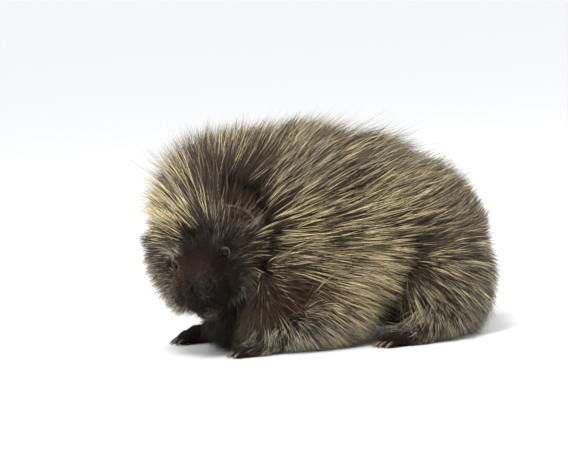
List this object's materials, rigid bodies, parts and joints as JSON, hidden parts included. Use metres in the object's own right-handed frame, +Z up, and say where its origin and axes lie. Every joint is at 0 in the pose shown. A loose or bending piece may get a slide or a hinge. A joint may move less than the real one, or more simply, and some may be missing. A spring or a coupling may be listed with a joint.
{
  "type": "porcupine",
  "caption": "Life-size still model of a North American porcupine, crouched on its paws with the head bowed and turned to its left, in a long bristling coat.",
  "frame": {"origin": "on the floor, under the middle of the outline's box", "axes": "+X from the head to the rump, +Y to the animal's right side, +Z up"},
  "size_m": [0.4004, 0.3583, 0.2627],
  "materials": {
    "long_coat": "long dark brown fur with cream-yellow guard hairs",
    "head_coat": "long cream-tipped fur over dark brown",
    "face_coat": "short dark brown fur",
    "bare_skin": "matte dark pebbled skin, with horn-brown claws on the paws",
    "eye": "wet, glossy, nearly black"
  },
  "bodies": {
    "root": {"head": "head_coat", "lower_jaw": "face_coat", "nose": "bare_skin", "ear_left": "face_coat", "ear_right": "face_coat", "eye_left": "eye", "eye_right": "eye", "neck": "long_coat", "trunk": "long_coat", "tail": "long_coat", "foreleg_left": "long_coat", "foreleg_right": "long_coat", "hindleg_left": "long_coat", "hindleg_right": "long_coat", "forepaw_left": "bare_skin", "forepaw_right": "bare_skin", "hindpaw_left": "bare_skin", "hindpaw_right": "bare_skin"}
  },
  "joints": []
}
